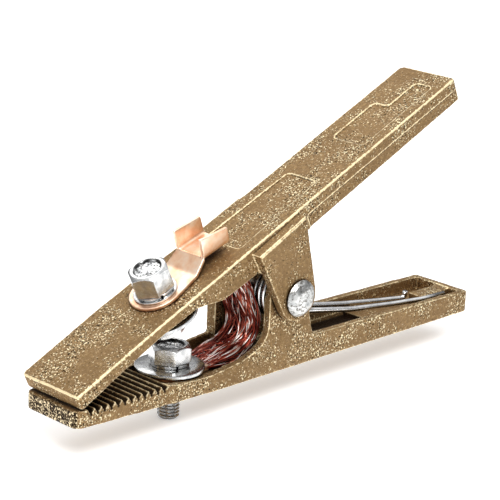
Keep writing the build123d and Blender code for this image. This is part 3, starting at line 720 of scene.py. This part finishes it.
def dish_rings(centre, top, seed):
    """The rough floor of the dish in a bolt's head, from its middle outwards."""
    rings = []
    for share in DISH_RINGS:
        reach = share * DISH_GRAIN
        rough = np.array([
            noise.noise(Vector((math.cos(a) * reach + seed, math.sin(a) * reach, seed))) for a in ANGLES
        ])
        lift = DISH_ROUGHNESS * rough * min(1, share * DISH_EASE)
        rings.append(ring_at(centre, DISH_RADIUS * MM * share, top - (DISH_DEPTH - lift) * MM))
    return rings


def bolt_painted_dark(places, top, seat, seed):
    """How much painted dark each vertex of a bolt gets. places start at its axis; top and seat are its
    head's ends.
    """
    reach = np.hypot(places[:, 0], places[:, 1]) / MM
    bearing = np.arctan2(places[:, 1], places[:, 0])
    depth = (top - places[:, 2]) / MM
    ring = np.clip(1 - np.abs(reach - RING_RADIUS) / RING_BAND, 0, 1) * (depth < RING_DEPTH)
    fine, wide = RING_WAVES
    broken = RING_SHARE + RING_BREAKS * np.sin(bearing * fine + seed) * np.sin(bearing * wide + 1)
    dish_streaks = np.clip(np.sin(bearing * DISH_STREAK_ARMS + reach * DISH_STREAK_TWIST) - DISH_STREAK_SHARE, 0, 1)
    dish_streaks *= (reach > DISH_STREAK_REACH[0]) * (reach < DISH_STREAK_REACH[1]) * (depth < DISH_STREAK_DEPTH)
    rise = (places[:, 2] - seat) / MM
    foot = (reach > FOOT_LINE_FROM) * np.clip((FOOT_LINE_TOP - rise) / FOOT_LINE_FADE, 0, 1)
    return np.clip(ring * broken * RING_STRENGTH + dish_streaks + foot, 0, 1)


def bolt(node, lock_washer_node, name, turn, rotation, seed):
    """A hexagon bolt: dished head with a raised rim, chamfered corners and a helical thread."""
    low, high = box_in(node, turn)
    seat = box_in(lock_washer_node, turn)[1].z
    centre = axis_of(lock_washer_node, turn)
    top = high.z
    side = hex_radius(BOLT_FLATS, rotation)
    rings = dish_rings(centre, top, seed)
    rings += [ring_at(centre, radius * MM, top - depth * MM) for radius, depth in HEAD_RIM]
    rim_radius, rim_depth = HEAD_RIM[-1]
    chamfer = top - rim_depth * MM - (side - rim_radius * MM) * CHAMFER_SLOPE
    rings += [ring_at(centre, side - inset * MM, chamfer + rise * MM) for inset, rise in CHAMFER_FOOT]
    rings.append(ring_at(centre, side, (chamfer + seat) / 2))
    rings += [ring_at(centre, side, seat + rise * MM) for rise in HEAD_FOOT]
    bearing_face = seat + SEAT_GAP * MM
    foot = np.minimum(side - FOOT_INSET * MM, BOLT_FLATS / 2 * FOOT_REACH)
    rings.append(ring_at(centre, foot, bearing_face))
    rings.append(ring_at(centre, SHANK_RADIUS + SHANK_FLARE * MM, bearing_face))
    rings.append(ring_at(centre, SHANK_RADIUS, seat - FLARE_DEPTH * MM))
    rings += thread_rings(centre, seat - THREAD_START * MM, low.z)
    mesh = loft(name, rings)
    store(mesh, "painted_dark", bolt_painted_dark(positions(mesh) - (*centre, 0), top, seat, seed))
    mesh.transform(turn)
    add_piece(name, mesh, node)


# The nut, in millimetres: its bore's play and countersinks, and its chamfered corners.
BORE_PLAY = 0.12
UPPER_SINK = (0.5, 0.3)                 # width, depth
LOWER_SINK = (0.6, 0.4)
NUT_FACE = 0.47                         # radius of its flat faces, as a share of the flats
NUT_CHAMFER = 0.6


def nut(node, lock_washer_node, name, turn, rotation):
    """A hexagon nut with a plain bore, centred on the bolt that the lock washer belongs to."""
    low, high = box_in(node, turn)
    centre = axis_of(lock_washer_node, turn)
    side = hex_radius(NUT_FLATS, rotation)
    face = NUT_FLATS * NUT_FACE
    chamfer = (side - face) * NUT_CHAMFER
    bore = SHANK_RADIUS + BORE_PLAY * MM
    middle = (high.z + low.z) / 2
    section = [
        (bore, high.z - UPPER_SINK[1] * MM), (bore + UPPER_SINK[0] * MM, high.z), (face, high.z),
        (side, high.z - chamfer), (side, middle), (side, low.z + chamfer), (face, low.z),
        (bore + LOWER_SINK[0] * MM, low.z), (bore, low.z + LOWER_SINK[1] * MM), (bore, middle),
    ]
    mesh = loft(name, [ring_at(centre, radius, height) for radius, height in section], closed_path=True)
    mesh.transform(turn)
    add_piece(name, mesh, node)


WASHER_BORE = 4.15 * MM
WASHER_ROUND = 0.22                     # size of its rounded edges, as a share of its thickness
ROUND_MIDDLE = 0.3                      # how far in a rounded edge's middle lies, as a share of its size
JAW_WASHER_DOME = 0.25 * MM


def washer(node, name, turn, dome=0.0):
    """A flat washer with rounded edges; with a dome its rim sags a little."""
    low, high = box_in(node, turn)
    centre = axis_of(node, turn)
    outer = (high.x - low.x) / 2
    soft = WASHER_ROUND * (high.z - low.z)
    corner = soft * ROUND_MIDDLE
    middle = (WASHER_BORE + outer) / 2
    lower_half = [
        (WASHER_BORE, soft), (WASHER_BORE + soft, 0), (middle, 0),
        (outer - soft, 0), (outer - corner, corner), (outer, soft),
    ]
    section = [(radius, low.z + rise) for radius, rise in lower_half]
    section += [(radius, high.z - rise) for radius, rise in reversed(lower_half)]
    rings = []
    for radius, height in section:
        sag = dome * ((radius - WASHER_BORE) / (outer - WASHER_BORE)) ** 2
        rings.append(ring_at(centre, radius, max(height - sag, low.z)))
    mesh = loft(name, rings, closed_path=True)
    mesh.transform(turn)
    add_piece(name, mesh, node)


LOCK_WASHER_STEPS = 60
LOCK_WASHER_SPLIT = 250                 # bearing of the split, in degrees
LOCK_WASHER_GAP = 8
LOCK_WASHER_ROUND = 0.12


def lock_washer(node, name, turn):
    """A split spring washer: a square wire bent round with its ends a little apart."""
    low, high = box_in(node, turn)
    centre = axis_of(node, turn)
    inner = WASHER_BORE
    outer = (high.x - low.x) / 2
    thick = high.z - low.z
    soft = LOCK_WASHER_ROUND * thick
    section = [
        (inner, soft), (inner + soft, 0), (outer - soft, 0), (outer, soft),
        (outer, thick - soft), (outer - soft, thick), (inner + soft, thick), (inner, thick - soft),
    ]
    radius, height = np.array(section).T
    rings = []
    for step in range(LOCK_WASHER_STEPS + 1):
        along = (360 - LOCK_WASHER_GAP) * step / LOCK_WASHER_STEPS
        angle = math.radians(LOCK_WASHER_SPLIT + LOCK_WASHER_GAP / 2 + along)
        x = centre[0] + radius * math.cos(angle)
        y = centre[1] + radius * math.sin(angle)
        rings.append(np.stack([x, y, low.z + height], axis=1))
    mesh = loft(name, rings)
    mesh.transform(turn)
    add_piece(name, mesh, node)


bolt("lower_bolt", "lower_lock_washer", "jaw_bolt", LEVEL, rotation=33, seed=2.7)
bolt("upper_bolt", "upper_lock_washer", "lug_bolt", GRIP, rotation=30, seed=9.1)
nut("clamp_nut", "upper_lock_washer", "shunt_nut", GRIP, rotation=55)
washer("lower_washer", "jaw_washer", LEVEL, JAW_WASHER_DOME)
washer("clamp_washer", "shunt_washer", GRIP)
washer("lug_washer", "lug_flat_washer", GRIP)
lock_washer("lower_lock_washer", "jaw_spring_washer", LEVEL)
lock_washer("upper_lock_washer", "lug_spring_washer", GRIP)
lock_washer("nut_lock_washer", "nut_spring_washer", GRIP)

# ---------------------------------------------------------------- castings, rivet and lug
# Voxels in millimetres, then the surface's features, each with its size and depth in millimetres.
CAST_VOXEL = 0.5
CAST_GRAIN = [(7, 0.10), (1.3, 0.12)]
RIVET_VOXEL = 0.28
RIVET_GRAIN = [(2.2, 0.30), (0.9, 0.08)]
LUG_VOXEL = 0.24
LUG_GRAIN = [(4, 0.06)]
FERRULE_VOXEL = 0.3
FERRULE_GRAIN = [(2, 0.06)]
WASHER_BEVEL = 0.15 * MM
SLEEVE_BEVEL = 0.2 * MM

skin("lower_casting", "jaw_lower", CAST_VOXEL, CAST_GRAIN)
skin("upper_casting", "jaw_upper", CAST_VOXEL, CAST_GRAIN)
skin("pivot_rivet", "rivet", RIVET_VOXEL, RIVET_GRAIN)
skin("cable_lug", "lug", LUG_VOXEL, LUG_GRAIN)
bevelled("rivet_washer", "rivet_far_washer", WASHER_BEVEL)
bevelled("pivot_sleeve", "spacer_sleeve", SLEEVE_BEVEL)
skin("shunt_ferrule_lower", "shunt_end_lower", FERRULE_VOXEL, FERRULE_GRAIN)
skin("shunt_ferrule_upper", "shunt_end_upper", FERRULE_VOXEL, FERRULE_GRAIN)

# ---------------------------------------------------------------- spring
RIVET_MIDDLE = (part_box("pivot_rivet")[0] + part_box("pivot_rivet")[1]) / 2
PIVOT = Vector((RIVET_MIDDLE.x, 0, RIVET_MIDDLE.z))
COIL_REACH = 10.3 * MM                  # everything nearer to the pivot than this is coil
COIL_START = 2 * MM                     # distance of the coils from the middle plane
SPRING_CREASE = math.radians(50)
SPRING_PARTS = {
    "coil_near": None,
    "coil_far": None,
    "upper_legs": "upper_jaw",
    "leg_near": "lower_jaw",
    "leg_far": "lower_jaw",
}


def spring_part(centre):
    """Which part of the spring a point belongs to: a coil, a lower leg or the upper legs."""
    if math.hypot(centre.x - PIVOT.x, centre.z - PIVOT.z) < COIL_REACH and abs(centre.y) > COIL_START:
        return "coil_near" if centre.y < 0 else "coil_far"
    if centre.z > PIVOT.z:
        return "upper_legs"
    return "leg_near" if centre.y < 0 else "leg_far"


def make_spring():
    """The legs ride on their castings, and each coil is cut out as a piece of its own that rides on no
    body.
    """
    for part, body in SPRING_PARTS.items():
        bm = welded("torsion_spring")
        others = [f for f in bm.faces if spring_part(f.calc_center_median()) != part]
        bmesh.ops.delete(bm, geom=others, context="FACES")
        rim = [e for e in bm.edges if e.is_boundary]
        bmesh.ops.holes_fill(bm, edges=rim, sides=0)
        mesh = as_mesh(bm, "spring_" + part)
        mesh.shade_smooth()
        mesh.set_sharp_from_angle(angle=SPRING_CREASE)
        piece = add_piece("spring_" + part, mesh, "torsion_spring", body or "none")
        if body is None:
            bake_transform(piece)


make_spring()

# ---------------------------------------------------------------- copper shunt
# The bundle's centre line from the lower ferrule to the upper one, as (X, Z) in millimetres.
SHUNT_LINE = [
    (-36.0, 6.2), (-31.0, 6.6), (-24.0, 7.6), (-16.2, 9.3), (-11.6, 13.2), (-10.2, 18.8), (-12.2, 24.5),
    (-14.0, 28.5), (-15.6, 32.0), (-18.2, 35.8), (-22.8, 37.4), (-30.0, 35.6), (-37.4, 32.2),
]
SHUNT_SAMPLES = 72
CURVE_STEPS = 24                        # points on the curve between two of the line's points
HALF_WIDTH, WIDTH_SWELL = 6.2 * MM, 0.9 * MM
HALF_THICK, THICK_SWELL = 1.0 * MM, 1.7 * MM
SWELL_SHARES = (0.22, 0.25)             # how much of the length it takes to swell at either end
SQUARENESS = 0.7                        # 1 is an oval section, less is nearer to a rectangle
CORE_SIDES = 28
CORE_WIDTH, CORE_THICK = 0.86, 0.82
CORE_SHADE_TINT = 0.08

STRAND_SEED = 41
STRAND_RADIUS = 0.25 * MM
STRAND_SIDES = 5
PHASES = (0, 6.3)                       # about one full turn, for the start of a wave
STREAK_STEP = 0.45                      # how fast a strand's tone and painted highlight change, in radians for each sample
STREAK_DEPTH, STREAK_GAIN = 0.08, 0.35

WOVEN = 46                              # strands in each direction
WOVEN_TURNS = 0.62
WOVEN_JITTER = 0.3
WOVEN_WAVES = (1, 2.5)
WOVEN_DRIFT = 0.125
WOVEN_SCALE = 0.95
WEAVE_DEPTH, WEAVE_CROSSINGS = 0.045, 9
WOVEN_TINTS = (0.1, 0.2, 0.3, 0.35, 0.45, 0.55, 0.75)

LOOSE = 84
LOOSE_DRIFT = 0.9
LOOSE_SWINGS = (0.1, 0.35)
LOOSE_WAVES = (0.8, 2.2)
LOOSE_BULGES = (0.02, 0.16)
RIPPLE_DEPTH, RIPPLE_WAVES = 0.03, (2, 5)
LOOSE_TINTS = (0.2, 0.3, 0.4, 0.5, 0.7, 0.9, 1.0)
LOOSE_THICKNESS = (0.8, 1.05)

SPILLED = 18                            # strands that hang out of the near side low down
SPILL_BEARING = (-1.1, 0.9)
SPILL_SWING, SPILL_WAVE = 0.5, 6
SPILL_PLACES = (0.12, 0.24)
SPILL_LENGTHS = (0.07, 0.12)
SPILL_SCALE = 0.98
SPILL_OUT, SPILL_DOWN = (0.6, 2.6), (0.0, 1.6)
SPILL_TINTS = (0.35, 0.5, 0.7, 0.9)
SPILL_THICKNESS = 0.9


def smooth_line(points, samples):
    """Points evenly spaced along a smooth curve through the given ones."""
    p = np.array([points[0], *points, points[-1]], float)
    p[0] = 2 * p[1] - p[2]
    p[-1] = 2 * p[-2] - p[-3]
    fine = []
    for i in range(1, len(p) - 2):
        a, b, c, d = p[i - 1:i + 3]
        for t in np.linspace(0, 1, CURVE_STEPS, endpoint=False):
            bend = (c - a) * t + (2 * a - 5 * b + 4 * c - d) * t * t + (3 * b - a - 3 * c + d) * t ** 3
            fine.append(0.5 * (2 * b + bend))
    fine.append(p[-2])
    fine = np.array(fine)
    run = np.concatenate([[0], np.cumsum(np.linalg.norm(np.diff(fine, axis=0), axis=1))])
    even = np.linspace(0, run[-1], samples)
    return np.stack([np.interp(even, run, fine[:, k]) for k in range(fine.shape[1])], axis=1)


def directions(line):
    """The direction of a line at each of its points."""
    tangent = np.gradient(line, axis=0)
    return tangent / np.linalg.norm(tangent, axis=1)[:, None]


def tube(path, radius, sides, turn):
    """Rings of points round a path in space."""
    tangent = directions(path)
    across = np.cross(tangent, (0.0, 1.0, 0.0))
    across /= np.linalg.norm(across, axis=1)[:, None]
    other = np.cross(tangent, across)
    angles = np.arange(sides) * FULL_TURN / sides + turn
    return [
        place + radius * (np.outer(np.cos(angles), a) + np.outer(np.sin(angles), b))
        for place, a, b in zip(path, across, other)
    ]


def rounded(wave):
    """A cosine or sine pushed outwards, for a section between an oval and a rectangle."""
    return np.sign(wave) * np.abs(wave) ** SQUARENESS


class Bundle:
    """The shunt's centre line and the size of its flattened section along it."""

    def __init__(self):
        line = smooth_line([(x * MM, z * MM) for x, z in SHUNT_LINE], SHUNT_SAMPLES)
        flat = np.zeros(len(line))
        tangent = directions(line)
        self.middle = np.stack([line[:, 0], flat, line[:, 1]], axis=1)
        self.out = np.stack([tangent[:, 1], flat, -tangent[:, 0]], axis=1)
        self.share = np.linspace(0, 1, SHUNT_SAMPLES)
        swell = np.clip(np.minimum(self.share / SWELL_SHARES[0], (1 - self.share) / SWELL_SHARES[1]), 0, 1)
        swell = swell * swell * (3 - 2 * swell)
        self.half_width = HALF_WIDTH + WIDTH_SWELL * swell
        self.half_thick = HALF_THICK + THICK_SWELL * swell

    def path(self, angle, scale):
        """A line along the bundle at an angle round its section and a share of its size, both arrays."""
        across = rounded(np.cos(angle)) * self.half_width * scale
        outwards = rounded(np.sin(angle)) * self.half_thick * scale
        return self.middle + across[:, None] * np.array([0, 1.0, 0]) + outwards[:, None] * self.out

    def core(self):
        """The middle that fills the gaps between the strands, tinted near black as painted shade."""
        angles = np.arange(CORE_SIDES) * FULL_TURN / CORE_SIDES
        rings = []
        for row in range(SHUNT_SAMPLES):
            across = rounded(np.cos(angles)) * self.half_width[row] * CORE_WIDTH
            outwards = rounded(np.sin(angles)) * self.half_thick[row] * CORE_THICK
            flat = self.middle[row] + np.outer(across, (0, 1, 0))
            rings.append(flat + np.outer(outwards, self.out[row]))
        mesh = loft("shunt_core", rings)
        store(mesh, "tone_and_highlight", np.full(len(mesh.vertices), CORE_SHADE_TINT))
        return mesh


class Strands:
    """The copper wires, drawn one after the other into one mesh."""

    def __init__(self, bundle):
        self.bundle = bundle
        self.share = bundle.share
        self.draw = random.Random(STRAND_SEED)
        self.points = []
        self.faces = []
        self.tints = []

    def wave(self, waves):
        """A sine along the bundle with a random start."""
        return np.sin(FULL_TURN * waves * self.share + self.draw.uniform(*PHASES))

    def add(self, path, radius, tone_and_highlight):
        rings = tube(path, radius, STRAND_SIDES, self.draw.uniform(0, 1))
        base = len(self.points)
        streak = self.draw.uniform(*PHASES)
        for row, ring in enumerate(rings):
            self.points.extend(ring.tolist())
            # Painted highlights come and go along each strand.
            shade = tone_and_highlight + (STREAK_DEPTH + STREAK_GAIN * tone_and_highlight) * math.sin(row * STREAK_STEP + streak)
            self.tints.extend([min(1.0, max(0.0, shade))] * STRAND_SIDES)
        last = base + (len(rings) - 1) * STRAND_SIDES
        for a in range(base, last, STRAND_SIDES):
            b = a + STRAND_SIDES
            for i in range(STRAND_SIDES):
                j = (i + 1) % STRAND_SIDES
                self.faces.append((a + i, b + i, b + j, a + j))
        self.faces.append(tuple(range(base, base + STRAND_SIDES)))
        self.faces.append(tuple(reversed(range(last, last + STRAND_SIDES))))

    def add_woven(self, direction, k):
        """One of the strands that wind round the bundle, over and under those of the other direction."""
        start = FULL_TURN * (k + self.draw.uniform(-WOVEN_JITTER, WOVEN_JITTER)) / WOVEN
        drift = WOVEN_DRIFT * self.wave(self.draw.uniform(*WOVEN_WAVES))
        angle = start + direction * FULL_TURN * WOVEN_TURNS * self.share + drift
        crossing = FULL_TURN * WEAVE_CROSSINGS * self.share + direction * math.pi / 2 + k
        path = self.bundle.path(angle, WOVEN_SCALE + WEAVE_DEPTH * np.sin(crossing))
        self.add(path, STRAND_RADIUS, self.draw.choice(WOVEN_TINTS))

    def add_loose(self):
        """A strand that wanders along the outside and stands off in the middle."""
        start = self.draw.uniform(0, FULL_TURN)
        drift = self.draw.uniform(-LOOSE_DRIFT, LOOSE_DRIFT) * self.share
        swing = self.draw.uniform(*LOOSE_SWINGS) * self.wave(self.draw.uniform(*LOOSE_WAVES))
        bulge = self.draw.uniform(*LOOSE_BULGES) * np.sin(math.pi * self.share) ** 2
        ripple = RIPPLE_DEPTH * self.wave(self.draw.uniform(*RIPPLE_WAVES))
        tone_and_highlight = self.draw.choice(LOOSE_TINTS)
        radius = STRAND_RADIUS * self.draw.uniform(*LOOSE_THICKNESS)
        self.add(self.bundle.path(start + drift + swing, 1.0 + bulge + ripple), radius, tone_and_highlight)

    def add_spilled(self):
        """A strand that hangs out of the near side above the lower ferrule."""
        bearing = math.pi + self.draw.uniform(*SPILL_BEARING)
        angle = bearing + SPILL_SWING * np.sin(SPILL_WAVE * self.share + self.draw.uniform(*PHASES))
        place = self.draw.uniform(*SPILL_PLACES)
        spill = np.exp(-(((self.share - place) / self.draw.uniform(*SPILL_LENGTHS)) ** 2))
        path = self.bundle.path(angle, np.full(SHUNT_SAMPLES, SPILL_SCALE))
        path[:, 1] -= spill * self.draw.uniform(*SPILL_OUT) * MM
        path[:, 2] -= spill * self.draw.uniform(*SPILL_DOWN) * MM
        self.add(path, STRAND_RADIUS * SPILL_THICKNESS, self.draw.choice(SPILL_TINTS))

    def mesh(self):
        mesh = bpy.data.meshes.new("shunt_strands")
        mesh.from_pydata(self.points, [], self.faces)
        store(mesh, "tone_and_highlight", self.tints)
        mesh.shade_smooth()
        return mesh


def make_shunt():
    """Woven, loose and spilled strands over a core, all bent between the two castings."""
    bundle = Bundle()
    strands = Strands(bundle)
    for direction in (-1, 1):
        for k in range(WOVEN):
            strands.add_woven(direction, k)
    for _ in range(LOOSE):
        strands.add_loose()
    for _ in range(SPILLED):
        strands.add_spilled()
    for name, mesh in (("shunt_strands", strands.mesh()), ("shunt_core", bundle.core())):
        piece = add_piece(name, mesh, "shunt_braid", "none")
        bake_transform(piece)


make_shunt()
